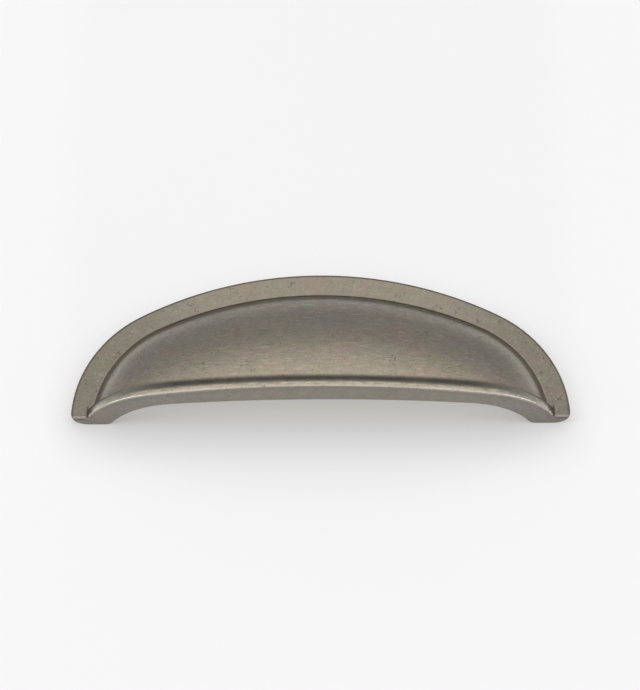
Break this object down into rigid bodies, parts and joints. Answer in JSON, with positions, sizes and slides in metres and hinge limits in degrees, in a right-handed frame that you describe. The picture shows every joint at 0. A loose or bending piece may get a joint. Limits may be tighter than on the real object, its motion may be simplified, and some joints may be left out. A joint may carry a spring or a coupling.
{
  "type": "shell pull",
  "caption": "Cup pull for a drawer: a shell-shaped hood on a flat flange, with a rounded bead along its open mouth and tapped holes in its back.",
  "frame": {"origin": "on the flat back face, midway between the two tapped screw holes", "axes": "+X along the drawer front, +Y up when mounted, away from the open mouth, +Z out of the drawer front, towards the user"},
  "size_m": [0.12, 0.0391, 0.0194],
  "materials": {
    "aged_pewter": "satin aged pewter plating on a zinc casting"
  },
  "bodies": {
    "root": {"pull_body": "aged_pewter"}
  },
  "joints": []
}
